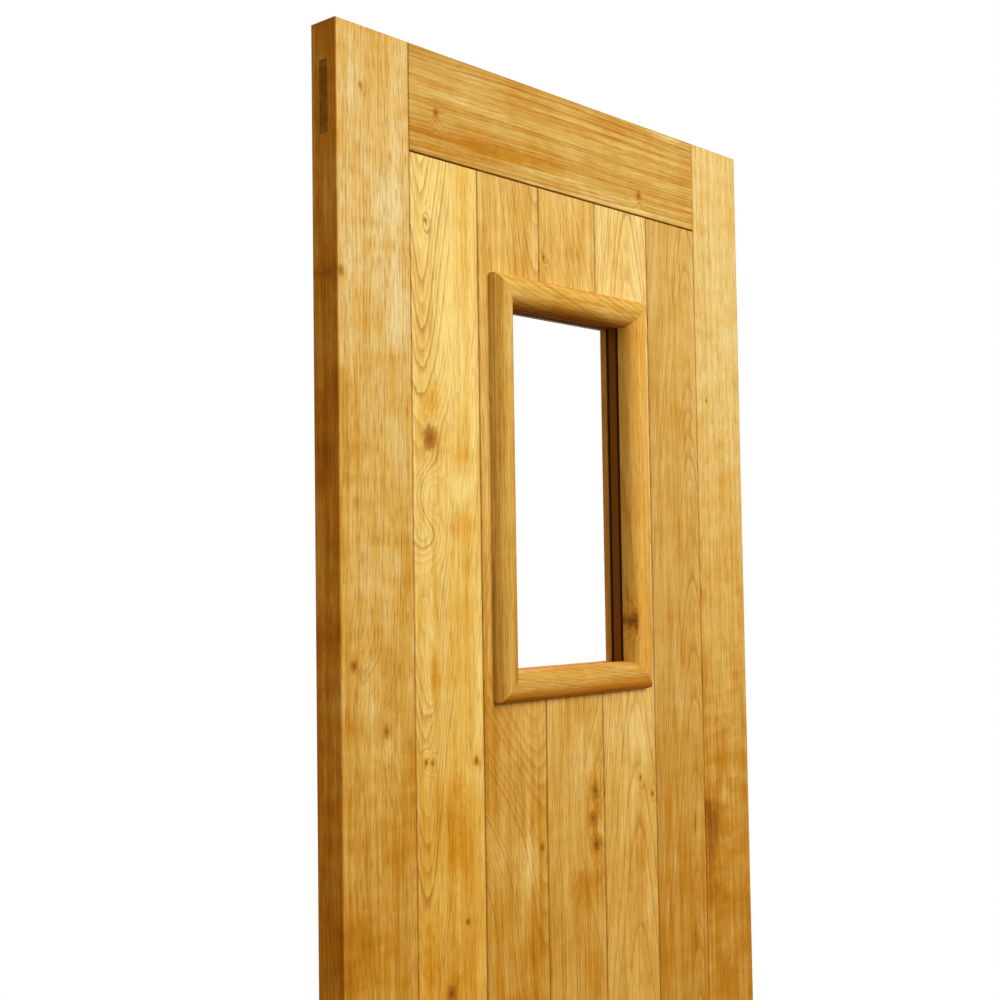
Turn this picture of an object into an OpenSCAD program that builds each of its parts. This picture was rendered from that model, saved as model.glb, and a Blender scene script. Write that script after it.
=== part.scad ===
// Framed and boarded oak door leaf with a small glazed light.
// The origin is the middle of the bottom edge, +Z is up and the outside face looks along -Y.

/* [Leaf] */
// Width of the leaf
leaf_w = 838; // [740:1:926]
// Height of the leaf
leaf_h = 1981; // [1900:1:2130]
// Thickness of the leaf
leaf_t = 44; // [42:1:54]
// Flat taken off every arris
arris = 1; // [0.5:0.1:2]

/* [Frame] */
// Face width of a stile
stile_w = 118; // [100:1:130]
// Height of the top rail
top_rail_h = 134; // [120:1:180]
// Height of the middle rail
middle_rail_h = 180; // [160:1:220]
// Depth from the top of the leaf to the middle rail
middle_rail_drop = 1151; // [1080:1:1300]
// Height of the bottom rail
bottom_rail_h = 205; // [170:1:240]

/* [Tenons] */
// Thickness of every tenon
tenon_t = 14.6; // [12:0.1:18]
// Depth from the top of the leaf to the top rail's tenon
top_haunch_h = 55; // [45:1:60]
// Shoulder left between a rail's edge and the wedge of its nearest tenon
wedge_shoulder = 9; // [6:1:14]
// Shoulder under the top rail's tenon
top_tenon_shoulder = 9; // [9:1:14]
// Height of each of the paired tenons on the lower rails
pair_tenon_h = 48; // [36:1:54]
// How far a haunch enters the stile
haunch_d = 14; // [10:1:24]
// Thickness of a wedge at its outer end
wedge_t = 9; // [5:0.5:9]
// Length of a wedge
wedge_l = 80; // [60:1:95]

/* [Boards] */
// Thickness of a board
board_t = 20; // [18:1:24]
// Width of the groove in a board, stile or top rail
groove_w = 6; // [5:0.5:8]
// Depth of that groove
groove_d = 9; // [8:0.5:12]
// Open joint that shows between two boards
joint_gap = 0.8; // [0.4:0.1:1.5]
// Open joint under the top rail, for the boards to move in
head_gap = 2; // [1:0.5:4]

/* [Light] */
// Width of the clear opening that shows
sight_w = 244; // [200:1:280]
// Height of the clear opening that shows
sight_h = 475; // [350:1:560]
// Depth from the top of the leaf to the clear opening
sight_drop = 304; // [280:1:380]
// How far the glass reaches behind the moulding on each side
glass_cover = 11; // [10.5:0.5:14]
// Space round the edge of the glass
edge_space = 3; // [2:0.5:5]
// Width of the lining behind the boards
lining_w = 45; // [35:1:60]

/* [Moulding] */
// Width of the raised moulding's face
moulding_w = 40; // [36:1:50]
// How far the moulding stands proud of the boards
moulding_proud = 17.5; // [14:0.5:20]
// Radius of its outer shoulder
shoulder_r = 16.5; // [8:0.5:17]
// Radius of its inner round
inner_r = 20; // [14:0.5:20]
// Radius that its outer corners are eased to, as the face is seen
corner_r = 7; // [1:0.5:12]
// Depth of its lip from the face of the boards to the glazing tape
lip_d = 10.5; // [8:0.5:12]
// Radius of the rear bead's round edge
bead_r = 3; // [1:0.5:5]

/* [Glazing] */
// Thickness of one pane
pane_t = 4; // [4:1:6]
// Space between the two panes
cavity_t = 12; // [8:1:14]
// Thickness of a glazing tape
tape_t = 1.5; // [1:0.25:2]
// Width of a glazing tape
tape_w = 8; // [6:0.5:8]
// How far a glazing tape is set back from the clear opening
tape_set = 2; // [1:0.5:2]
// Width of the sealant round the spacer
sealant_w = 4; // [3:0.5:5]
// Width of the spacer bar
spacer_w = 6; // [5:0.5:6.5]
// Length of a block under or beside the glass
block_l = 60; // [40:1:90]

/* [Fixings] */
// Radius of a screw's shank
screw_r = 2; // [1.5:0.25:2.5]
// Radius of a screw's countersunk head
screw_head_r = 4; // [3.5:0.25:5]
// How far a screw enters a board
screw_bite = 12; // [8:1:14]
// Distance from a rail's edge to its nearest row of screws
screw_inset = 45; // [30:1:60]
// Radius of a bead pin
pin_r = 0.8; // [0.6:0.1:1.2]
// How far a bead pin enters the lining
pin_bite = 16; // [10:1:22]
// Distance from a corner of the clear opening to the nearest pin or lining screw
corner_inset = 50; // [30:1:70]

/* [Clearances] */
// Clearance on each face of a tenon, tongue or fixing
fit = 0.1; // [0.05:0.05:0.2]
// Clearance between a lip or bead and the opening round it
lip_gap = 0.5; // [0.3:0.1:1]
// Clearance at the end of a tongue
tongue_end_gap = 0.6; // [0.4:0.1:0.9]
// Open joint at a shoulder or a mitre
shoulder_gap = 0.3; // [0.1:0.1:0.8]

/* [Hidden] */
$fn = 64;

// How far a cut runs past the face that it leaves
past = 5;

// Planes through the thickness, from the outside face to the back
front_y = -leaf_t / 2;
back_y = leaf_t / 2;
crest_y = front_y - moulding_proud;
board_back_y = front_y + board_t;
tongue_y = front_y + board_t / 2;
pane_y = front_y + lip_d + tape_t;
cavity_y = pane_y + pane_t;
unit_back_y = cavity_y + cavity_t + pane_t;
bead_y = unit_back_y + tape_t;

// Frame
inner_w = leaf_w - 2 * stile_w;
rail_w = inner_w - 2 * shoulder_gap;
top_rail_z = leaf_h - top_rail_h;
middle_rail_z = leaf_h - middle_rail_drop - middle_rail_h;
top_tenon_y = -tenon_t / 2;
top_tenons = [[top_rail_z + top_tenon_shoulder, leaf_h - top_haunch_h]];
top_haunch = [leaf_h - top_haunch_h, leaf_h];
middle_tenons = tenon_pair(middle_rail_z, middle_rail_h);
bottom_tenons = tenon_pair(0, bottom_rail_h);

// Boards
board_count = 5;
board_pitch = (inner_w - joint_gap) / board_count;
board_top_z = top_rail_z - head_gap;
tongue_t = groove_w - 2 * fit;
tongue_l = joint_gap + groove_d - tongue_end_gap;
head_tongue_z = top_rail_z + groove_d - tongue_end_gap;

// Light
sight_z = leaf_h - sight_drop - sight_h / 2;
unit_w = sight_w + 2 * glass_cover;
unit_h = sight_h + 2 * glass_cover;
opening_w = unit_w + 2 * edge_space;
opening_h = unit_h + 2 * edge_space;
lined_w = opening_w + 2 * lining_w;
lined_h = opening_h + 2 * lining_w;
lip_w = glass_cover + edge_space - lip_gap;

// Fixings, each placed by its X and Z
lining_x = (opening_w + lining_w) / 2;
lining_z = (opening_h + lining_w) / 2;
corner_x = sight_w / 2 - corner_inset;
corner_z = sight_h / 2 - corner_inset;
screw_l = back_y - board_back_y + screw_bite;
pin_l = lip_w + lip_gap + pin_bite;
screw_rows = [
    middle_rail_z + screw_inset, middle_rail_z + middle_rail_h - screw_inset,
    screw_inset, bottom_rail_h - screw_inset
];
board_screw_places = [for (i = [1 : board_count], z = screw_rows) [board_middle(i), z]];
trim_screw_places = concat(
    [for (x = [-lining_x, lining_x], z = [-corner_z, 0, corner_z]) [x, sight_z + z]],
    [for (i = [2 : board_count - 1], z = [-lining_z, lining_z]) [board_middle(i), sight_z + z]]
);

// Colours
oak_frame = "#d9ab62";
oak_rail = "#d5a44c";
oak_board = "#e0b164";
oak_moulding = "#cd9440";
oak_lining = "#c99c55";
oak_wedge = "#9a6429";
clear_glass = [0.82, 0.9, 0.88, 0.35];
brown_rubber = "#5a3512";
brown_spacer = "#8a5012";
grey_plastic = "#8c9aa5";
bright_steel = "#b9bcc0";

function board_left(i) = -inner_w / 2 + joint_gap + (i - 1) * board_pitch;
function board_right(i) = board_left(i) + board_pitch - joint_gap;
function board_middle(i) = (board_left(i) + board_right(i)) / 2;

// Fixings that lie on or close to one board
function near_board(i, places) = [for (p = places) if (abs(p[0] - board_middle(i)) < board_pitch) p];

// Lower and upper tenon of a rail, each with room for a wedge inside the rail's edge
function tenon_pair(z, h) =
    let (inset = wedge_shoulder + wedge_t)
    [[z + inset, z + inset + pair_tenon_h], [z + h - inset - pair_tenon_h, z + h - inset]];

// Height between a lower and an upper tenon
function between(tenons) = [tenons[0][1], tenons[1][0]];

// Rectangle with its four corners taken off
function eased(x0, x1, y0, y1) = [
    [x0 + arris, y0], [x1 - arris, y0], [x1, y0 + arris], [x1, y1 - arris],
    [x1 - arris, y1], [x0 + arris, y1], [x0, y1 - arris], [x0, y0 + arris]
];

// Box between two corners
module block(low, high) {
    translate(low) cube(high - low);
}

// Planed length of timber with its arrises eased
module timber(low, high) {
    intersection() {
        translate([0, 0, low[2]]) linear_extrude(high[2] - low[2])
            polygon(eased(low[0], high[0], low[1], high[1]));
        translate([low[0], 0, 0]) rotate([90, 0, 90]) linear_extrude(high[0] - low[0])
            polygon(eased(low[1], high[1], low[2], high[2]));
    }
}

// Outline in X and Z, pushed through the thickness from y0 to y1
module through(y0, y1) {
    translate([0, y1, 0]) rotate([90, 0, 0]) linear_extrude(y1 - y0) children();
}

module both_sides() {
    children();
    mirror([1, 0, 0]) children();
}

// Mortises and haunching in the left stile for one rail, flared outwards for the wedges
module mortises(tenons, haunch, y0) {
    outer = -leaf_w / 2;
    inner = -inner_w / 2;
    for (t = tenons)
        through(y0, y0 + tenon_t) polygon([
            [outer, t[0] - wedge_t], [outer + wedge_l, t[0]], [inner + past, t[0]],
            [inner + past, t[1]], [outer + wedge_l, t[1]], [outer, t[1] + wedge_t]
        ]);
    block([inner - haunch_d, y0, haunch[0]], [inner + past, y0 + tenon_t, haunch[1]]);
}

// Tenons and haunches at both ends of one rail, their ends flush with the edges of the leaf
module tenons(tenons, haunch, y0) {
    half = inner_w / 2 + haunch_d - fit;
    for (t = tenons)
        block([-leaf_w / 2, y0 + fit, t[0] + fit], [leaf_w / 2, y0 + tenon_t - fit, t[1] - fit]);
    block([-half, y0 + fit, haunch[0] - fit], [half, y0 + tenon_t - fit, min(haunch[1] + fit, leaf_h)]);
}

// Two wedges to each tenon, between the tenon and the flare of its mortise
module wedges(tenons, y0) {
    outer = -leaf_w / 2;
    color(oak_wedge) both_sides() for (t = tenons)
        through(y0 + fit, y0 + tenon_t - fit) {
            polygon([[outer, t[0]], [outer, t[0] - wedge_t], [outer + wedge_l, t[0]]]);
            polygon([[outer, t[1]], [outer, t[1] + wedge_t], [outer + wedge_l, t[1]]]);
        }
}

module stile() {
    color(oak_frame) difference() {
        timber([-leaf_w / 2, front_y, 0], [-inner_w / 2, back_y, leaf_h]);
        block([-inner_w / 2 - groove_d, tongue_y - groove_w / 2, -past],
              [-inner_w / 2 + past, tongue_y + groove_w / 2, top_rail_z]);
        mortises(top_tenons, [top_haunch[0], leaf_h + past], top_tenon_y);
        mortises(middle_tenons, between(middle_tenons), board_back_y);
        mortises(bottom_tenons, between(bottom_tenons), board_back_y);
    }
}

module left_stile() {
    stile();
}

module right_stile() {
    mirror([1, 0, 0]) stile();
}

module top_rail() {
    color(oak_rail) difference() {
        union() {
            timber([-rail_w / 2, front_y, top_rail_z], [rail_w / 2, back_y, leaf_h]);
            tenons(top_tenons, top_haunch, top_tenon_y);
        }
        block([-inner_w / 2, tongue_y - groove_w / 2, top_rail_z - past],
              [inner_w / 2, tongue_y + groove_w / 2, top_rail_z + groove_d]);
    }
}

// Rail behind the boards, with bare-faced tenons
module ledge(z, h, pair) {
    color(oak_rail) difference() {
        union() {
            timber([-rail_w / 2, board_back_y, z], [rail_w / 2, back_y, z + h]);
            tenons(pair, between(pair), board_back_y);
        }
        screws(board_screw_places, fit);
    }
}

module middle_rail() {
    ledge(middle_rail_z, middle_rail_h, middle_tenons);
}

module bottom_rail() {
    ledge(0, bottom_rail_h, bottom_tenons);
}

module top_rail_wedges() {
    wedges(top_tenons, top_tenon_y);
}

module middle_rail_wedges() {
    wedges(middle_tenons, board_back_y);
}

module bottom_rail_wedges() {
    wedges(bottom_tenons, board_back_y);
}

// One board, counted from the left: tongued on its left edge and head, grooved on its right edge,
// with a second tongue instead of the groove on the last one
module board(i) {
    x0 = board_left(i);
    x1 = board_right(i);
    last = i == board_count;
    color(oak_board) difference() {
        union() {
            timber([x0, front_y, 0], [x1, board_back_y, board_top_z]);
            block([x0 - tongue_l, tongue_y - tongue_t / 2, 0],
                  [last ? x1 + tongue_l : board_middle(i), tongue_y + tongue_t / 2, board_top_z]);
            block([x0, tongue_y - tongue_t / 2, board_top_z - groove_d],
                  [x1, tongue_y + tongue_t / 2, head_tongue_z]);
        }
        if (!last)
            block([x1 - groove_d, tongue_y - groove_w / 2, -past],
                  [x1 + past, tongue_y + groove_w / 2, leaf_h]);
        block([-opening_w / 2, front_y - past, sight_z - opening_h / 2],
              [opening_w / 2, back_y, sight_z + opening_h / 2]);
        screws(near_board(i, concat(board_screw_places, trim_screw_places)), fit);
    }
}

module board_1() {
    board(1);
}

module board_2() {
    board(2);
}

module board_3_upper() {
    intersection() {
        board(3);
        block([-leaf_w / 2, front_y, sight_z], [leaf_w / 2, back_y, leaf_h]);
    }
}

module board_3_lower() {
    intersection() {
        board(3);
        block([-leaf_w / 2, front_y, 0], [leaf_w / 2, back_y, sight_z]);
    }
}

module board_4() {
    board(4);
}

module board_5() {
    board(5);
}

// One length of the lining behind the boards, from corner to corner in X and Z about the light's middle
module lining(low, high) {
    color(oak_lining) difference() {
        timber([low[0], board_back_y, sight_z + low[1]], [high[0], back_y, sight_z + high[1]]);
        screws(trim_screw_places, fit);
        pins(fit);
    }
}

module window_head() {
    lining([-lined_w / 2, opening_h / 2], [lined_w / 2, lined_h / 2]);
}

module window_sill() {
    lining([-lined_w / 2, -lined_h / 2], [lined_w / 2, -opening_h / 2]);
}

module window_jamb_left() {
    lining([-lined_w / 2, -opening_h / 2], [-opening_w / 2, opening_h / 2]);
}

module window_jamb_right() {
    lining([opening_w / 2, -opening_h / 2], [lined_w / 2, opening_h / 2]);
}

// Outline of one mitred side of a frame, its outer corners eased to a radius
module mitred_outline(along, width, ease) {
    end = along / 2 - shoulder_gap / 2;
    intersection() {
        polygon([[-end, 0], [end, 0], [end - width, -width], [width - end, -width]]);
        union() {
            translate([-along / 2, -width]) square([along, width - ease]);
            translate([ease - along / 2, -width]) square([along - 2 * ease, width]);
            both_sides() translate([along / 2 - ease, -ease]) circle(ease);
        }
    }
}

// One mitred side of a frame round the light, turned clockwise from the top as the outside face is seen.
// The children give its section: X runs inwards from the outer edge, Y through the thickness.
module mitred_side(turn, along, across, width, ease) {
    translate([0, 0, sight_z]) rotate([0, turn, 0]) translate([0, 0, across / 2]) intersection() {
        rotate([0, 90, 0]) linear_extrude(along, center = true) children();
        through(crest_y - past, back_y + past) mitred_outline(along, width, ease);
    }
}

// Raised moulding: low flank, rounded shoulder, broad round to the glass, and a lip into the opening
module moulding_section() {
    difference() {
        translate([0, crest_y]) square([moulding_w, moulding_proud + lip_d]);
        translate([-past, front_y]) square([moulding_w - lip_w + past, lip_d + past]);
        difference() {
            translate([-past, crest_y - past]) square(shoulder_r + past);
            translate([shoulder_r, crest_y + shoulder_r]) circle(shoulder_r);
        }
        difference() {
            translate([moulding_w - inner_r, crest_y - past]) square(inner_r + past);
            translate([moulding_w - inner_r, crest_y + inner_r]) circle(inner_r);
        }
    }
}

module bead_section() {
    difference() {
        translate([0, bead_y]) square([lip_w, back_y - bead_y]);
        difference() {
            translate([lip_w - bead_r, back_y - bead_r]) square(bead_r + past);
            translate([lip_w - bead_r, back_y - bead_r]) circle(bead_r);
        }
    }
}

module moulding(turn, along, across) {
    color(oak_moulding)
        mitred_side(turn, along + 2 * moulding_w, across + 2 * moulding_w, moulding_w, corner_r)
            moulding_section();
}

module bead(turn, along, across) {
    color(oak_moulding) difference() {
        mitred_side(turn, along + 2 * lip_w, across + 2 * lip_w, lip_w, arris) bead_section();
        pins(fit);
    }
}

module front_moulding_top() {
    moulding(0, sight_w, sight_h);
}

module front_moulding_right() {
    moulding(90, sight_h, sight_w);
}

module front_moulding_bottom() {
    moulding(180, sight_w, sight_h);
}

module front_moulding_left() {
    moulding(270, sight_h, sight_w);
}

module rear_bead_top() {
    bead(0, sight_w, sight_h);
}

module rear_bead_right() {
    bead(90, sight_h, sight_w);
}

module rear_bead_bottom() {
    bead(180, sight_w, sight_h);
}

module rear_bead_left() {
    bead(270, sight_h, sight_w);
}

// Rectangular ring about the light's middle
module ring(w, h, width, y0, y1) {
    translate([0, 0, sight_z]) through(y0, y1) difference() {
        square([w, h], center = true);
        square([w - 2 * width, h - 2 * width], center = true);
    }
}

module pane(y0) {
    color(clear_glass) translate([0, 0, sight_z]) through(y0, y0 + pane_t)
        square([unit_w, unit_h], center = true);
}

module outer_pane() {
    pane(pane_y);
}

module inner_pane() {
    pane(cavity_y + cavity_t);
}

module spacer_bar() {
    color(brown_spacer)
        ring(unit_w - 2 * sealant_w, unit_h - 2 * sealant_w, spacer_w, cavity_y, cavity_y + cavity_t);
}

module edge_sealant() {
    color(brown_rubber) ring(unit_w, unit_h, sealant_w, cavity_y, cavity_y + cavity_t);
}

module glazing_tape(y0) {
    reach = 2 * (tape_set + tape_w);
    color(brown_rubber) ring(sight_w + reach, sight_h + reach, tape_w, y0, y0 + tape_t);
}

module front_glazing_tape() {
    glazing_tape(pane_y - tape_t);
}

module rear_glazing_tape() {
    glazing_tape(unit_back_y);
}

// Blocks at the quarter points of the sealed unit: two under it, and two at each side
module setting_blocks() {
    color(grey_plastic) both_sides() translate([unit_w / 4, 0, sight_z - (unit_h + edge_space) / 2])
        through(pane_y, unit_back_y) square([block_l, edge_space], center = true);
}

module side_blocks() {
    color(grey_plastic) both_sides() for (z = [-unit_h / 4, unit_h / 4])
        translate([(unit_w + edge_space) / 2, 0, sight_z + z])
            through(pane_y, unit_back_y) square([edge_space, block_l], center = true);
}

// Countersunk screws driven from the back, or with a gap the holes for them
module screws(places, gap) {
    for (p = places) translate([p[0], back_y, p[1]]) rotate([90, 0, 0]) {
        cylinder(h = screw_l + gap, r = screw_r + gap);
        cylinder(h = screw_head_r - screw_r, r1 = screw_head_r + gap, r2 = screw_r + gap);
    }
}

module board_screws() {
    color(bright_steel) screws(board_screw_places, 0);
}

module trim_screws() {
    color(bright_steel) screws(trim_screw_places, 0);
}

// Pins through the rear beads into the lining, or with a gap the holes for them
module pins(gap) {
    pin_y = (bead_y + back_y) / 2;
    translate([0, pin_y, sight_z]) {
        for (side = [-1, 1], z = [-corner_z, 0, corner_z])
            translate([side * sight_w / 2, 0, z]) rotate([0, side * 90, 0])
                cylinder(h = pin_l + gap, r = pin_r + gap);
        for (up = [0, 1], x = [-corner_x, corner_x])
            mirror([0, 0, up]) translate([x, 0, -sight_h / 2]) rotate([180, 0, 0])
                cylinder(h = pin_l + gap, r = pin_r + gap);
    }
}

module bead_pins() {
    color(bright_steel) pins(0);
}

left_stile();
right_stile();
top_rail();
middle_rail();
bottom_rail();
top_rail_wedges();
middle_rail_wedges();
bottom_rail_wedges();
board_1();
board_2();
board_3_upper();
board_3_lower();
board_4();
board_5();
window_head();
window_sill();
window_jamb_left();
window_jamb_right();
front_moulding_top();
front_moulding_bottom();
front_moulding_left();
front_moulding_right();
rear_bead_top();
rear_bead_bottom();
rear_bead_left();
rear_bead_right();
outer_pane();
inner_pane();
spacer_bar();
edge_sealant();
front_glazing_tape();
rear_glazing_tape();
setting_blocks();
side_blocks();
board_screws();
trim_screws();
bead_pins();
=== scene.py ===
import math

import bpy
from mathutils import Matrix, Vector


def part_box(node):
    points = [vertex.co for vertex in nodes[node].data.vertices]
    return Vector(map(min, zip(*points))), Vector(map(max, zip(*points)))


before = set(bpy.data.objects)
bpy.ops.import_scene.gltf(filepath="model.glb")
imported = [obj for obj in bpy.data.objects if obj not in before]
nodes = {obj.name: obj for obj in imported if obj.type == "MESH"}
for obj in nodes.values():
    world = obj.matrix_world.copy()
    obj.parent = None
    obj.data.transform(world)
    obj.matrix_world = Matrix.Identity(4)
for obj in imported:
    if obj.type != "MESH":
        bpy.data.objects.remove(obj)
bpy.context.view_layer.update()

bpy.context.scene.view_settings.view_transform = "Standard"
print("frame loaded:", len(nodes), "pieces")

mm = 0.001
leafLow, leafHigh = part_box("left_stile")[0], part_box("right_stile")[1]

# Every figure of the wood below is placed in mm from the leaf's left edge and down from its top
leafCorner = {
    "left": leafLow.x / mm,
    "front": leafLow.y / mm,
    "top": leafHigh.z / mm,
}


def linear(hexColour):
    parts = [int(hexColour[i:i + 2], 16) / 255 for i in (1, 3, 5)]
    curved = [p / 12.92 if p <= 0.04045 else ((p + 0.055) / 1.055) ** 2.4 for p in parts]
    return (*curved, 1.0)


# Adds one node, with its settings and its links or plain values, and gives back its outputs
def add(tree, kind, inputs=None, **settings):
    made = tree.nodes.new("ShaderNode" + kind)
    for name, value in settings.items():
        setattr(made, name, value)
    for place, value in (inputs or {}).items():
        if isinstance(value, bpy.types.NodeSocket):
            tree.links.new(value, made.inputs[place])
        else:
            made.inputs[place].default_value = value
    return made.outputs


def newFinish(name):
    finish = bpy.data.materials.new(name)
    finish.use_nodes = True
    finish.node_tree.nodes.clear()
    return finish, finish.node_tree


def dress(piece, finish):
    slots = nodes[piece].data.materials
    slots.clear()
    slots.append(finish)


# The oak's own figure: size in mm across the grain, through the board and along the grain, then noise detail
oakFigure = {
    "wander": ((90, 90, 460), 1.0),     # slow lean of the fibres
    "wobble": ((22, 22, 90), 1.0),      # smaller waves in the growth rings
    "ragged": ((6, 6, 10), 1.0),        # rough outlines of knots and stains
    "streak": ((9, 9, 420), 2.0),       # lighter and darker bundles of fibre
    "fibre": ((3.2, 3.2, 90), 1.0),     # single fibres, drawn several times too wide so that they show
    "cloud": ((46, 46, 110), 3.0),      # patches that took more or less oil
    "paintedLustre": ((60, 60, 24), 2.0),      # painted lustre across the grain, a painted sheen
    "pore": ((2.2, 2.2, 22), 0.0),      # open pores, drawn about five times too wide so that they show
}
oakNoise = {"roughness": 0.55, "low": 0.3, "high": 0.7, "seedStep": (7.3, 3.1, 1.7)}
ringDrift = {"wander": 18, "wobble": 3.5, "fibre": 1.0}   # mm that each figure moves the growth rings
toneSwing = {"cloud": 0.16, "streak": 0.18, "fibre": 0.13, "paintedLustre": 0.06}   # how far each one moves the tone
ringLine = {"fade": 1.5, "rise": 5.0, "faintest": 0.1, "contrast": 0.5, "quiet": 0.35}
poreLook = {"from": 0.50, "to": 0.70, "ground": 0.18, "line": 0.5}
oilAndShadeTurn = {"edge": 0.2, "turn": (0.2, 1.0), "endTurn": (0.6, 0.9)}   # how far a face turns from the front before it is painted deeper: end grain for its oil, sideways faces partly for oil and partly as painted shade
jointLook = {"depth": 0.6, "from": 3.0, "to": 0.6}   # darker band on a board's long edges, in mm from them
spotLook = {"ragged": 0.7, "swirlEdge": (0.0, 1.3), "stainEdge": (0.0, 1.1)}

# A knot: how far it lifts the rings and darkens the wood round it, in radii,
# and its layers from the outside in
knotLook = {
    "bump": 2.0, "lift": (3, 7), "liftEdge": (0.1, 1.2), "liftRagged": 0.2,
    "halo": (2.6, 3.6), "haloTone": 0.5, "tall": 1.4,
    "layers": (
        ("knot", 1.15, (0.65, 1.15), 0.85),
        ("core", 0.6, (0.2, 1.1), 0.8),
        ("heart", 0.3, (0.2, 1.1), 0.9),
    ),
    "large": 10,   # from this radius in mm, a knot has a dark rim and a paler middle
    "largeLayers": (
        ("core", 1.1, (0.5, 1.1), 0.7),
        ("bark", 0.9, (0.4, 1.2), 0.8),
        ("core", 0.6, (0.0, 1.1), 0.6),
    ),
    "outline": 6,   # mm that a large knot's outline wanders
}
oakColours = {
    "pale": "#F8D887",
    "honey": "#E2B356",
    "amber": "#C98A22",
    "umber": "#8A4E0E",
    "line": "#A05C12",
    "knot": "#98601C",
    "bark": "#BE7820",
    "core": "#6A3E10",
    "heart": "#33200C",
    "joint": "#6A3A0C",
    # tint of faces facing sideways: partly the oil of planed edges, partly painted shade
    "edge": "#FFE8A6",
    "endGrain": "#BCAA89",
}
toneSteps = (("honey", 0.0, 0.5), ("amber", 0.5, 1.0), ("umber", 1.0, 1.7))   # pale is tone 0
oakSurface = {
    "roughness": 0.52, "smoother": 0.04, "rougher": 0.06, "specular": 0.05, "ior": 1.47,
    "poreDepth": 0.0003, "relief": 0.35, "ringShare": 0.4,
}
paintedSheenDrop = {"from": 330, "to": 1150}   # mm below the top, where a piece goes from its first tone to its second; the paler first tone is painted sheen


# Planed and sanded oak under a satin oil: growth rings, pores and streaks run with the grain,
# so an upright, a rail and a moulding each show their own arches, and end grain shows arcs
def oak(name, look):
    finish, tree = newFinish(name)
    across = look.get("grain") == "across"
    seed, ring = look["seed"], look["ring"]
    knots = look.get("knots", [])
    colours = {**oakColours, **look.get("colours", {})}
    place = add(tree, "TexCoord")["Object"]
    point = add(tree, "VectorMath", {
        0: place,
        1: (1 / mm, 1 / mm, -1 / mm),
        2: (-leafCorner["left"], -leafCorner["front"], leafCorner["top"]),
    }, operation="MULTIPLY_ADD")[0]
    part = add(tree, "SeparateXYZ", {0: point})
    below = part[2]
    if across:
        point = add(tree, "CombineXYZ", {0: part[2], 1: part[1], 2: part[0]})[0]

    figure = {}
    for kind, (size, detail) in oakFigure.items():
        spread = add(tree, "VectorMath", {
            0: point,
            1: [1 / s for s in size],
            2: [seed * step for step in oakNoise["seedStep"]],
        }, operation="MULTIPLY_ADD")[0]
        figure[kind] = add(tree, "TexNoise", {
            "Vector": spread, "Scale": 1.0, "Roughness": oakNoise["roughness"], "Detail": detail,
        })["Fac"]

    # A soft place with its middle and its half width and height, from left and below top.
    # One that isn't ragged lifts the growth rings smoothly
    def spot(middle, half, edge, ragged=spotLook["ragged"]):
        if across:
            middle, half = middle[::-1], half[::-1]
        near = add(tree, "VectorMath", {
            0: point,
            1: (1 / half[0], 0, 1 / half[1]),
            2: (-middle[0] / half[0], 0, -middle[1] / half[1]),
        }, operation="MULTIPLY_ADD")[0]
        away = add(tree, "VectorMath", {0: near}, operation="LENGTH")["Value"]
        for kind in ("wobble", "ragged"):
            away = add(tree, "Math", {0: figure[kind], 1: ragged, 2: away}, operation="MULTIPLY_ADD")[0]
        return add(tree, "MapRange", {
            "Value": away, "From Min": edge[0] + ragged, "From Max": edge[1] + ragged,
            "To Min": 1.0, "To Max": 0.0,
        }, interpolation_type="SMOOTHSTEP")[0]

    def blend(amount, under, hexColour, mode="MIX"):
        return add(tree, "Mix", {
            "Factor": amount, 6: under, 7: linear(hexColour),
        }, data_type="RGBA", blend_type=mode)[2]

    # Distance from the pith, leaning along the grain so that flat-sawn faces show arches
    pithAcross, pithDeep = look["pith"]
    ray = add(tree, "VectorMath", {
        0: point, 1: (1, 1, 0), 2: (-pithAcross, -pithDeep, 0),
    }, operation="MULTIPLY_ADD")[0]
    fromPith = add(tree, "VectorMath", {0: ray}, operation="LENGTH")["Value"]
    lean = add(tree, "VectorMath", {0: point, 1: (0, 0, look["taper"])}, operation="DOT_PRODUCT")["Value"]
    field = add(tree, "Math", {0: fromPith, 1: lean}, operation="ADD")[0]
    for kind, reach in ringDrift.items():
        if kind != "fibre":   # a piece's own fibre setting is for its tone
            reach = look.get(kind, reach)
        field = add(tree, "Math", {0: figure[kind], 1: reach, 2: field}, operation="MULTIPLY_ADD")[0]
    for x, z, wide, high, lift in look.get("swirls", []):
        field = add(tree, "Math", {
            0: spot((x, z), (wide, high), spotLook["swirlEdge"], 0.0), 1: lift * ring, 2: field,
        }, operation="MULTIPLY_ADD")[0]
    liftWide, liftHigh = knotLook["lift"]
    for x, z, size, dark in knots:
        half = (size * liftWide, size * liftHigh)
        raised = spot((x, z), half, knotLook["liftEdge"], knotLook["liftRagged"])
        field = add(tree, "Math", {
            0: raised, 1: look.get("bump", knotLook["bump"]) * ring, 2: field,
        }, operation="MULTIPLY_ADD")[0]

    # A growth ring starts as a dark line of open pores and fades out, some years stronger than others
    rings = add(tree, "Math", {0: field, 1: ring}, operation="DIVIDE")[0]
    share = add(tree, "Math", {0: rings}, operation="FRACT")[0]
    year = add(tree, "TexWhiteNoise", {
        "W": add(tree, "Math", {0: rings}, operation="FLOOR")[0],
    }, noise_dimensions="1D")["Value"]
    fade = add(tree, "Math", {0: 1.0, 1: share}, operation="SUBTRACT")[0]
    fade = add(tree, "Math", {0: fade, 1: ringLine["fade"]}, operation="POWER")[0]
    start = add(tree, "Math", {0: share, 1: ringLine["rise"]}, operation="MULTIPLY")[0]
    line = add(tree, "Math", {0: fade, 1: start}, operation="MINIMUM")[0]
    weight = add(tree, "MapRange", {"Value": year, "To Min": ringLine["faintest"], "To Max": 1.0})[0]
    line = add(tree, "Math", {0: line, 1: weight}, operation="MULTIPLY")[0]
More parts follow.
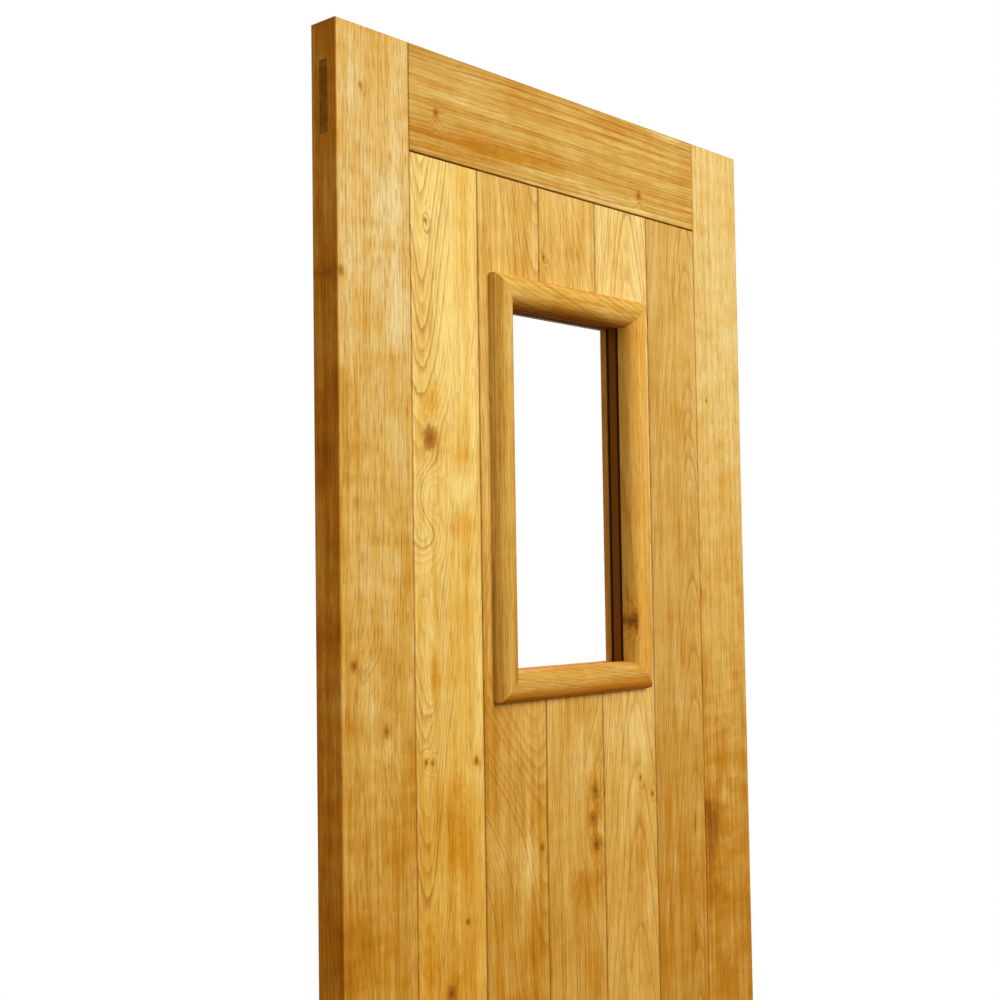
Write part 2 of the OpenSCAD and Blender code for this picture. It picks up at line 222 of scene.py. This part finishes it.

    # Ground tone, from the head of the leaf to its deeper foot, paler towards the head as painted sheen
    tone = add(tree, "MapRange", {
        "Value": below, "From Min": paintedSheenDrop["from"], "From Max": paintedSheenDrop["to"],
        "To Min": look["tone"][0], "To Max": look["tone"][1],
    })[0]

    # End grain drinks more oil than the face does. Faces facing sideways are painted deeper, partly for the
    # oil of planed edges and partly as painted shade
    facing = add(tree, "NewGeometry")["Normal"]
    sideways, endways = ((0, 0, 1), (1, 0, 0)) if across else ((1, 0, 0), (0, 0, 1))
    sideways = look.get("inner", sideways)   # on a moulding, painted shade on the one side given alone
    oilAndShade = {}
    for shade, axis, (low, high), amount in (
        ("edge", sideways, look.get("turn", oilAndShadeTurn["turn"]), look.get("edge", oilAndShadeTurn["edge"])),
        ("endGrain", endways, oilAndShadeTurn["endTurn"], 1.0),
    ):
        side = add(tree, "VectorMath", {0: facing, 1: axis}, operation="DOT_PRODUCT")["Value"]
        if axis != look.get("inner"):
            side = add(tree, "Math", {0: side}, operation="ABSOLUTE")[0]
        oilAndShade[shade] = add(tree, "MapRange", {
            "Value": side, "From Min": low, "From Max": high, "To Max": amount,
        })[0]
        tone = add(tree, "Math", {0: tone, 1: oilAndShade[shade]}, operation="MAXIMUM")[0]

    # Streaks, clouds of oil and a painted lustre that comes and goes, then stains and the dark wood round
    # knots
    for kind, reach in toneSwing.items():
        reach = look.get(kind, reach)
        swing = add(tree, "MapRange", {
            "Value": figure[kind], "From Min": oakNoise["low"], "From Max": oakNoise["high"],
            "To Min": -reach, "To Max": reach,
        }, clamp=False)[0]
        tone = add(tree, "Math", {0: tone, 1: swing}, operation="ADD")[0]
    haloWide, haloHigh = knotLook["halo"]
    halos = [
        (x, z, size * haloWide, size * haloHigh, knotLook["haloTone"] * dark)
        for x, z, size, dark in knots
    ]
    for x, z, wide, high, amount in look.get("stains", []) + halos:
        tone = add(tree, "Math", {
            0: spot((x, z), (wide, high), spotLook["stainEdge"]), 1: amount, 2: tone,
        }, operation="MULTIPLY_ADD")[0]

    colour = linear(colours["pale"])
    for shade, low, high in toneSteps:
        step = add(tree, "MapRange", {"Value": tone, "From Min": low, "From Max": high})[0]
        colour = blend(step, colour, colours[shade])
    strength = add(tree, "Math", {
        0: line, 1: look.get("contrast", ringLine["contrast"]),
    }, operation="MULTIPLY")[0]
    if "figured" in look:   # strong lines near the pith, quiet straight grain away from it
        quiet = add(tree, "MapRange", {
            "Value": fromPith, "From Min": look["figured"][0], "From Max": look["figured"][1],
            "To Min": 1.0, "To Max": ringLine["quiet"],
        }, interpolation_type="SMOOTHSTEP")[0]
        strength = add(tree, "Math", {0: strength, 1: quiet}, operation="MULTIPLY")[0]
    colour = blend(strength, colour, colours["line"])
    pore = add(tree, "MapRange", {
        "Value": figure["pore"], "From Min": poreLook["from"], "From Max": poreLook["to"],
    })[0]
    poreShade = add(tree, "MapRange", {
        "Value": line, "To Min": look.get("pores", poreLook["ground"]), "To Max": poreLook["line"],
    })[0]
    poreShade = add(tree, "Math", {0: pore, 1: poreShade}, operation="MULTIPLY")[0]
    colour = blend(poreShade, colour, colours["line"])

    # Knots: a brown body in its darker wood, a darker core and a nearly black heart
    for x, z, size, dark in knots:
        ragged = min(spotLook["ragged"], knotLook["outline"] / size)
        for shade, grow, edge, amount in knotLook["largeLayers" if size >= knotLook["large"] else "layers"]:
            if shade == "heart":
                amount = amount * dark
            half = (size * grow, size * grow * knotLook["tall"])
            mask = add(tree, "Math", {
                0: spot((x, z), half, edge, ragged), 1: amount * dark,
            }, operation="MULTIPLY")[0]
            colour = blend(mask, colour, colours[shade])

    # A board's long edges are darker towards the joints
    if "box" in look:
        low, high = [corner.x / mm - leafCorner["left"] for corner in look["box"]]
        half = (high - low) / 2
        inward = add(tree, "Math", {0: part[0], 1: (low + high) / 2}, operation="SUBTRACT")[0]
        inward = add(tree, "Math", {0: inward}, operation="ABSOLUTE")[0]
        inward = add(tree, "MapRange", {
            "Value": inward, "From Min": half - jointLook["from"], "From Max": half - jointLook["to"],
            "To Max": jointLook["depth"],
        }, interpolation_type="SMOOTHSTEP")[0]
        colour = blend(inward, colour, colours["joint"])
    # Deeper tint on end grain, and painted shade with some oil on faces facing sideways
    for shade, amount in oilAndShade.items():
        colour = blend(amount, colour, colours[shade], "MULTIPLY")

    height = add(tree, "Math", {
        0: line, 1: oakSurface["ringShare"], 2: poreShade,
    }, operation="MULTIPLY_ADD")[0]
    height = add(tree, "Math", {0: 1.0, 1: height}, operation="SUBTRACT")[0]
    relief = add(tree, "Bump", {
        "Strength": oakSurface["relief"], "Distance": oakSurface["poreDepth"], "Height": height,
    })[0]
    rough = add(tree, "MapRange", {
        "Value": tone,
        "To Min": oakSurface["roughness"] - oakSurface["smoother"],
        "To Max": oakSurface["roughness"] + oakSurface["rougher"],
    })[0]
    shader = add(tree, "BsdfPrincipled", {
        "Base Color": colour, "Roughness": rough, "Normal": relief,
        "IOR": oakSurface["ior"], "Specular IOR Level": look.get("specular", oakSurface["specular"]),
    })[0]
    add(tree, "OutputMaterial", {"Surface": shader})
    return finish


# Edge: how far faces facing sideways are painted deeper, partly oil and partly painted shade. Inner: the one
# side of a moulding that takes this painted shade.
# One entry a piece. Pith: across the grain and behind the face. Tone: at the top and at the foot of the leaf,
# the paler top a painted sheen.
# Knots: from left, below top, radius, darkness.
# Swirls and stains: from left, below top, half width, half height, then rings of lift or depth of tone
oakPieces = {
    "left_stile": {
        "seed": 1, "pith": (-70, 60), "ring": 4.6, "taper": 0.02, "wander": 14, "contrast": 0.48, "bump": 3.0,
        "tone": (0.36, 0.88), "cloud": 0.20, "paintedLustre": 0.12, "pores": 0.34, "edge": 0.85,
        "colours": {"pale": "#F0D591", "edge": "#FFDE98"},
        "swirls": [(-10, 960, 90, 260, 7), (14, 800, 52, 80, 5), (66, 850, 46, 90, 4)],
        "knots": [(38, 73, 3, 0.4), (5, 299, 5, 0.6), (20, 757, 5, 0.7), (70, 837, 5, 0.6)],
        "stains": [(75, 258, 60, 14, 0.26), (6, 470, 26, 110, 0.28), (110, 640, 30, 60, 0.15),
                   (90, 200, 34, 46, -0.30), (98, 345, 28, 60, -0.30), (72, 858, 14, 30, -0.40),
                   (85, 950, 46, 70, 0.12), (20, 1080, 40, 90, 0.15), (0, 722, 5, 34, 0.40),
                   (60, 240, 80, 120, -0.18), (60, 690, 80, 150, -0.14), (0, 940, 4, 130, 0.12)],
    },
    "right_stile": {
        "seed": 2, "pith": (560, 60), "ring": 3.8, "taper": 0.01, "wander": 12, "contrast": 0.36,
        "tone": (0.24, 1.0), "cloud": 0.10, "paintedLustre": 0.15, "pores": 0.24, "edge": 0.85,
        "colours": {"pale": "#EBCF86", "honey": "#E0B45A", "amber": "#C48521"},
        "knots": [(746, 394, 3, 0.5)],
        "swirls": [(724, 1040, 40, 110, 6), (800, 1215, 60, 70, -9)],
        "stains": [(736, 1030, 30, 66, 0.7), (732, 1110, 22, 56, 0.45), (760, 930, 40, 60, 0.12),
                   (772, 985, 12, 34, -0.4), (775, 1215, 34, 44, -0.3), (776, 875, 18, 50, 0.14)],
    },
    "top_rail": {
        "seed": 3, "grain": "across", "pith": (-40, 30), "ring": 5.0, "taper": 0.01, "wander": 18,
        "contrast": 0.85, "tone": (0.64, 0.64), "streak": 0.22,
        "colours": {"honey": "#D9B15A", "amber": "#C5861E"},
        "knots": [(165, 78, 4, 0.6), (584, 105, 4.5, 0.6)],
        "stains": [(240, 108, 160, 22, 0.30), (650, 5, 60, 12, -0.5)],
    },
    "middle_rail": {
        "seed": 4, "grain": "across", "pith": (1240, 60), "ring": 4.4, "taper": 0.10, "tone": (0.5, 0.65),
    },
    "bottom_rail": {
        "seed": 5, "grain": "across", "pith": (1880, 70), "ring": 4.4, "taper": -0.10, "tone": (0.5, 0.65),
    },
    "board_1": {
        "seed": 6, "pith": (136, 12), "ring": 5.4, "taper": 0.17, "wander": 22, "contrast": 0.85, "bump": 2.5,
        "tone": (0.04, 0.66), "fibre": 0.10, "figured": (26, 60),
        "colours": {"pale": "#FBDA80", "honey": "#E9B54C", "amber": "#D18A15"},
        "knots": [(148, 486, 14, 0.95), (135, 879, 3.2, 0.7), (146, 881, 3.2, 0.6), (223, 886, 5, 0.8),
                  (144, 217, 3, 0.6), (204, 1081, 3, 0.8), (173, 1162, 8, 0.7)],
        "swirls": [(146, 556, 24, 42, 5), (136, 650, 30, 40, 3), (150, 770, 15, 60, -4)],
        "stains": [(150, 440, 24, 30, 0.4), (200, 505, 30, 14, 0.25), (205, 545, 36, 22, -0.4),
                   (205, 592, 38, 24, 0.30), (150, 775, 9, 50, 0.5), (203, 990, 36, 100, 0.24),
                   (136, 1120, 30, 80, 0.32), (182, 955, 26, 130, 0.30)],
    },
    "board_2": {
        "seed": 7, "pith": (352, 22), "ring": 5.4, "taper": 0.15, "wander": 12, "contrast": 0.65,
        "tone": (0.46, 0.78),
        "swirls": [(200, 790, 150, 240, -15)],
        "knots": [(346, 1011, 3, 0.7)],
        "stains": [(252, 880, 34, 120, 0.26), (321, 1025, 26, 60, -0.45), (318, 1130, 34, 80, 0.28),
                   (300, 1215, 60, 40, 0.40), (300, 835, 60, 40, 0.14)],
    },
    "board_3_upper": {
        "seed": 8, "pith": (300, 30), "ring": 5.4, "taper": -0.28, "wander": 18, "contrast": 0.6,
        "tone": (0.40, 0.76),
        "knots": [(367, 229, 3.5, 0.6)],
        "stains": [(440, 215, 40, 18, 0.2)],
    },
    "board_3_lower": {
        "seed": 9, "pith": (300, 60), "ring": 5.6, "taper": 0.02, "wander": 16, "contrast": 0.85, "bump": 1.5,
        "tone": (0.34, 0.72),
        "swirls": [(478, 985, 100, 150, 11)],
        "knots": [(458, 950, 9, 0.6), (452, 987, 8, 0.6), (459, 1023, 6, 1.0)],
        "stains": [(440, 1078, 46, 38, 0.46), (460, 1005, 16, 68, 0.36), (425, 905, 44, 70, -0.25),
                   (468, 1003, 14, 22, -0.45)],
    },
    "board_4": {
        "seed": 10, "pith": (553, 26), "ring": 6.0, "taper": -0.14, "wander": 12, "contrast": 0.65,
        "tone": (0.16, 0.62), "fibre": 0.10,
        "knots": [(561, 944, 3, 0.6), (589, 970, 3, 0.7)],
        "stains": [(490, 190, 7, 60, -0.4), (545, 220, 40, 30, 0.15), (540, 890, 80, 80, -0.24),
                   (540, 1050, 70, 60, 0.16), (548, 1130, 30, 100, 0.16)],
    },
    "board_5": {
        "seed": 11, "pith": (697, 22), "ring": 5.0, "taper": -0.14, "wander": 10, "contrast": 0.65,
        "tone": (0.52, 0.88), "colours": {"pale": "#EACB86", "honey": "#DAB05A", "amber": "#C58724"},
        "stains": [(693, 1025, 3, 22, 0.7), (640, 1090, 40, 100, 0.15), (690, 1190, 12, 30, 0.4),
                   (660, 840, 70, 60, -0.16)],
    },
    "window_head": {
        "seed": 12, "grain": "across", "pith": (200, 60), "ring": 4.2, "taper": 0.06, "tone": (0.5, 0.5),
    },
    "window_sill": {
        "seed": 13, "grain": "across", "pith": (900, 60), "ring": 4.2, "taper": 0.06, "tone": (0.5, 0.5),
    },
    "window_jamb_left": {"seed": 14, "pith": (180, 40), "ring": 4.2, "taper": 0.04, "tone": (0.5, 0.5)},
    "window_jamb_right": {"seed": 15, "pith": (700, 40), "ring": 4.2, "taper": 0.04, "tone": (0.5, 0.5)},
    # Painted shade on the faces that turn downwards
    "front_moulding_top": {
        "seed": 16, "grain": "across", "pith": (300, 10), "ring": 4.2, "taper": 0.16, "tone": (0.58, 0.58),
        "contrast": 0.8, "specular": 0.0, "inner": (0, 0, -1), "edge": 0.6, "colours": {"edge": "#FFD890"},
    },
    # Painted shade on the faces that turn downwards
    "front_moulding_bottom": {
        "seed": 17, "grain": "across", "pith": (830, 0), "ring": 3.6, "taper": 0.12, "tone": (0.70, 0.70),
        "contrast": 0.65, "inner": (0, 0, -1), "turn": (-0.5, 0.45), "edge": 0.98,
        "colours": {"honey": "#D6AD58", "amber": "#CC8A20", "edge": "#FFEFD4"},
        # a painted shade stripe along the top inner edge, dimming its highlight
        "stains": [(419, 778, 260, 5, 0.4)],
    },
    # Painted shade on the flank that faces left, ending in a sharp step
    "front_moulding_left": {
        "seed": 18, "pith": (200, 0), "ring": 2.9, "taper": 0.004, "tone": (0.58, 0.95), "contrast": 1.5,
        "wander": 6, "wobble": 1.5, "figured": (55, 64),
        "inner": (-1, 0, 0), "turn": (0.28, 0.38), "edge": 0.72,
        "colours": {"edge": "#FFFFFF", "line": "#6A421A"},
    },
    # Painted shade, greyer, on the faces that turn towards the right
    "front_moulding_right": {
        "seed": 19, "pith": (640, -10), "ring": 4.2, "taper": 0.03, "tone": (0.46, 0.46), "contrast": 0.6,
        "wander": 10, "inner": (1, 0, 0), "turn": (-0.3, 0.5), "edge": 0.46,
        "colours": {"pale": "#F6CC70", "honey": "#ECAF48", "edge": "#C6BFB4"},
        "knots": [(544, 722, 4, 0.9)],
        "stains": [(545, 722, 3, 26, 1.0)],
    },
    "rear_bead_top": {
        "seed": 20, "grain": "across", "pith": (330, 60), "ring": 3.6, "taper": 0.03, "tone": (0.6, 0.6),
    },
    "rear_bead_bottom": {
        "seed": 21, "grain": "across", "pith": (700, 60), "ring": 3.6, "taper": 0.03, "tone": (0.6, 0.6),
    },
    "rear_bead_left": {"seed": 22, "pith": (200, 30), "ring": 3.6, "taper": 0.03, "tone": (0.6, 0.6)},
    # Painted shade, with some oil, on its faces facing sideways
    "rear_bead_right": {
        "seed": 23, "pith": (650, 30), "ring": 3.6, "taper": 0.03, "tone": (0.20, 0.20), "edge": 0.70,
        "colours": {"pale": "#FAC860", "honey": "#EBA840"},
    },
    "top_rail_wedges": {
        "seed": 24, "grain": "across", "pith": (30, 0), "ring": 3.2, "taper": 0.0, "tone": (0.8, 0.8),
    },
    "middle_rail_wedges": {
        "seed": 25, "grain": "across", "pith": (1200, 0), "ring": 3.2, "taper": 0.0, "tone": (0.8, 0.8),
    },
    "bottom_rail_wedges": {
        "seed": 26, "grain": "across", "pith": (1850, 0), "ring": 3.2, "taper": 0.0, "tone": (0.8, 0.8),
    },
}
for piece, look in oakPieces.items():
    if piece.startswith("board"):
        look = {"box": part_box(piece), **look}
    dress(piece, oak("oiled oak, " + piece.replace("_", " "), look))
print("oak dressed:", len(oakPieces), "pieces")

# Float glass: thin, flat and clear, so the white beyond shows straight through and only a gleam stays on it
glassLook = {"clear": "#FFFFFF", "ior": 1.52, "gleam": 0.08}
glass, tree = newFinish("float glass, polished")
gleam = add(tree, "Fresnel", {"IOR": glassLook["ior"]})[0]
front = add(tree, "Math", {0: 1.0, 1: add(tree, "NewGeometry")["Backfacing"]}, operation="SUBTRACT")[0]
front = add(tree, "Math", {0: front, 1: glassLook["gleam"]}, operation="MULTIPLY")[0]
gleam = add(tree, "Math", {0: gleam, 1: front}, operation="MULTIPLY")[0]   # faint, off the near face alone
through = add(tree, "BsdfTransparent", {"Color": linear(glassLook["clear"])})[0]
mirrored = add(tree, "BsdfGlossy", {"Color": linear(glassLook["clear"]), "Roughness": 0.0})[0]
add(tree, "OutputMaterial", {"Surface": add(tree, "MixShader", {0: gleam, 1: through, 2: mirrored})[0]})
for piece in ("outer_pane", "inner_pane"):
    dress(piece, glass)
print("glass dressed")

# Small parts of the glazing and the fixings, with the size of their speckle in mm
tapeLook = {"name": "glazing tape, brown closed cell foam", "colour": "#6B3F12", "rough": 0.92, "speck": 0.6}
blockLook = {"name": "setting block, moulded plastic", "colour": "#8B9BA6", "rough": 0.5, "speck": 1.2}
screwLook = {
    "name": "stainless steel, cold headed", "colour": "#9C978C", "rough": 0.32, "metal": 1.0, "speck": 0.5,
}
pinLook = {**screwLook, "name": "stainless steel, drawn wire"}
plainPieces = {
    # A dull brown band deep in the reveal
    "spacer_bar": {
        "name": "warm edge spacer, brown extruded plastic", "colour": "#8A5012", "rough": 0.7, "speck": 1.5,
    },
    # A nearly black, uneven line behind the spacer
    "edge_sealant": {
        "name": "polysulphide sealant, knifed off", "colour": "#2C1A08", "rough": 0.6, "speck": 3.0,
    },
    # Fine dull cells between the glass and the oak
    "front_glazing_tape": tapeLook,
    "rear_glazing_tape": tapeLook,
    # Grey-blue, with the faint sheen of the mould
    "setting_blocks": blockLook,
    "side_blocks": blockLook,
    # Small grey gleams flush with the back
    "board_screws": screwLook,
    "trim_screws": screwLook,
    "bead_pins": pinLook,
}
plainSurface = {"shade": 0.25, "roughSpread": 0.08, "specular": 0.05, "metalSpecular": 0.5, "detail": 2.0}
paintedCrossRecess = {   # half widths, least spacing of the heads and depth of their rim, in mm, then the painted shade in the cross
    "arm": 0.55, "reach": 2.3, "apart": 9, "rim": 0.1, "dark": "#1E1A16",
}


# Middles of the groups that a row of values falls into
def middles(values):
    groups = []
    for value in sorted(values):
        if groups and value - groups[-1][-1] < paintedCrossRecess["apart"] * mm:
            groups[-1].append(value)
        else:
            groups.append([value])
    return [(group[0] + group[-1]) / 2 for group in groups]


for piece, look in plainPieces.items():
    finish, tree = newFinish(look["name"])
    metal, swing = look.get("metal", 0.0), plainSurface["roughSpread"]
    place = add(tree, "TexCoord")["Object"]
    grit = add(tree, "TexNoise", {
        "Vector": place, "Scale": 1 / (look["speck"] * mm), "Detail": plainSurface["detail"],
    })["Fac"]
    shade = add(tree, "MapRange", {
        "Value": grit, "To Min": 1 - plainSurface["shade"], "To Max": 1 + plainSurface["shade"],
    })[0]
    colour = add(tree, "VectorMath", {0: linear(look["colour"])[:3], 1: shade}, operation="MULTIPLY")[0]
    if piece.endswith("screws"):   # the driver's cross sunk in each head, in painted shade
        corners = [v.co for v in nodes[piece].data.vertices]
        back = max(corner.y for corner in corners)
        heads = [corner for corner in corners if back - corner.y < paintedCrossRecess["rim"] * mm]
        part = add(tree, "SeparateXYZ", {0: place})
        off = []
        for axis in (0, 2):
            near = 1.0
            for centre in middles(corner[axis] for corner in heads):
                away = add(tree, "Math", {0: part[axis], 1: centre}, operation="SUBTRACT")[0]
                away = add(tree, "Math", {0: away}, operation="ABSOLUTE")[0]
                near = add(tree, "Math", {0: away, 1: near}, operation="MINIMUM")[0]
            off.append(near)
        sunk = 1.0
        for pick, limit in (("MINIMUM", paintedCrossRecess["arm"]), ("MAXIMUM", paintedCrossRecess["reach"])):
            away = add(tree, "Math", {0: off[0], 1: off[1]}, operation=pick)[0]
            inside = add(tree, "Math", {0: away, 1: limit * mm}, operation="LESS_THAN")[0]
            sunk = add(tree, "Math", {0: inside, 1: sunk}, operation="MULTIPLY")[0]
        colour = add(tree, "Mix", {
            "Factor": sunk, 6: colour, 7: linear(paintedCrossRecess["dark"]),
        }, data_type="RGBA")[2]
    rough = add(tree, "MapRange", {
        "Value": grit, "To Min": look["rough"] - swing, "To Max": look["rough"] + swing,
    })[0]
    shader = add(tree, "BsdfPrincipled", {
        "Base Color": colour, "Roughness": rough, "Metallic": metal,
        "Specular IOR Level": plainSurface["metalSpecular" if metal else "specular"],
    })[0]
    add(tree, "OutputMaterial", {"Surface": shader})
    dress(piece, finish)
print("glazing and fixings dressed:", len(plainPieces), "pieces")

# Stage: a pale round floor that fades into the white round it, soft key from the right, white surround
stageLook = {
    "radius": 2.3, "sides": 128, "sunk": 0.0005, "floor": "#EDEBE7", "bounce": "#6A5434",
    "fadeFrom": 1.0, "fadeTo": 0.97, "white": "#FFFFFF",
    "ambientUp": 0.40, "ambientDown": 0.04, "skyFrom": -0.2, "skyTo": 0.3,
}


# 1 where the camera looks straight at something, in a mirror or through glass, and 0 for light on the object
def shown(tree):
    seen = add(tree, "LightPath")
    lit = add(tree, "Math", {0: seen["Is Camera Ray"], 1: seen["Is Glossy Ray"]}, operation="MAXIMUM")[0]
    return add(tree, "Math", {0: lit, 1: seen["Is Transmission Ray"]}, operation="MAXIMUM")[0]


bpy.ops.mesh.primitive_circle_add(
    vertices=stageLook["sides"], radius=stageLook["radius"], fill_type="NGON",
    location=(0, 0, -stageLook["sunk"]),
)
floor = bpy.context.object
floor.name = "studioFloor"
paper, tree = newFinish("studio paper, matt")   # plain and pale, so that only the shadow shows on it
place = add(tree, "TexCoord")["Object"]
out = add(tree, "VectorMath", {0: place}, operation="LENGTH")["Value"]
rim = add(tree, "MapRange", {
    "Value": out, "From Min": stageLook["fadeFrom"], "From Max": stageLook["radius"] * stageLook["fadeTo"],
}, interpolation_type="SMOOTHSTEP")[0]
lit = shown(tree)
rim = add(tree, "Math", {0: rim, 1: lit}, operation="MULTIPLY")[0]
sheet = add(tree, "Mix", {
    "Factor": lit, 6: linear(stageLook["bounce"]), 7: linear(stageLook["floor"]),
}, data_type="RGBA")[2]
matt = add(tree, "BsdfDiffuse", {"Color": sheet})[0]
blank = add(tree, "Emission", {"Color": linear(stageLook["white"]), "Strength": 1.0})[0]
add(tree, "OutputMaterial", {"Surface": add(tree, "MixShader", {0: rim, 1: matt, 2: blank})[0]})
floor.data.materials.append(paper)

world = bpy.data.worlds.new("studio white")
bpy.context.scene.world = world
world.use_nodes = True
tree = world.node_tree
tree.nodes.clear()
lit = shown(tree)
sky = add(tree, "SeparateXYZ", {0: add(tree, "TexCoord")["Generated"]})[2]
sky = add(tree, "MapRange", {
    "Value": sky, "From Min": stageLook["skyFrom"], "From Max": stageLook["skyTo"],
    "To Min": stageLook["ambientDown"], "To Max": stageLook["ambientUp"],
})[0]
glow = add(tree, "MapRange", {"Value": lit, "To Min": sky, "To Max": 1.0})[0]
surround = add(tree, "Background", {"Color": linear(stageLook["white"]), "Strength": glow})[0]
add(tree, "OutputWorld", {"Surface": surround})

# Soft lamps in metres from the light of the door, all turned towards it
lampTarget = 0.7   # share of the leaf's height
lamps = {
    "keySoftbox": {"from": (1.1, -3.6, 1.9), "size": 3.0, "power": 170},
    "fillSoftbox": {"from": (-3.6, -0.9, 0.4), "size": 2.2, "power": 25},
    "backSoftbox": {"from": (1.8, 3.4, 2.4), "size": 2.8, "power": 240},
}
middle = Vector((0, leafLow.y, leafHigh.z * lampTarget))
for name, lamp in lamps.items():
    light = bpy.data.lights.new(name, "AREA")
    light.shape, light.size, light.energy = "DISK", lamp["size"], lamp["power"]
    holder = bpy.data.objects.new(name, light)
    holder.location = middle + Vector(lamp["from"])
    holder.rotation_euler = (middle - holder.location).to_track_quat("-Z", "Y").to_euler()
    bpy.context.scene.collection.objects.link(holder)

# Camera at the photograph's place: metres from the leaf's top front left corner, turned in degrees
view = {
    "left": 1.1235, "ahead": 1.2700, "down": 0.6572,
    "yaw": 47.733, "pitch": 2.99, "roll": -0.841,
    "lens": 52.947, "sensor": 36,
}
yaw, pitch, roll = (math.radians(view[k]) for k in ("yaw", "pitch", "roll"))
ahead = Vector((math.sin(yaw) * math.cos(pitch), math.cos(yaw) * math.cos(pitch), math.sin(pitch)))
level = Vector((math.cos(yaw), -math.sin(yaw), 0))
upright = level.cross(ahead)
right = math.cos(roll) * level + math.sin(roll) * upright
up = math.cos(roll) * upright - math.sin(roll) * level
lens = bpy.data.cameras.new("photoCamera")
lens.lens, lens.sensor_width = view["lens"], view["sensor"]
camera = bpy.data.objects.new("photoCamera", lens)
turn = Matrix((right, up, -ahead)).transposed().to_4x4()
stand = Vector((leafLow.x - view["left"], leafLow.y - view["ahead"], leafHigh.z - view["down"]))
camera.matrix_world = Matrix.Translation(stand) @ turn
bpy.context.scene.collection.objects.link(camera)
bpy.context.scene.camera = camera
print("stage, lamps and camera set")
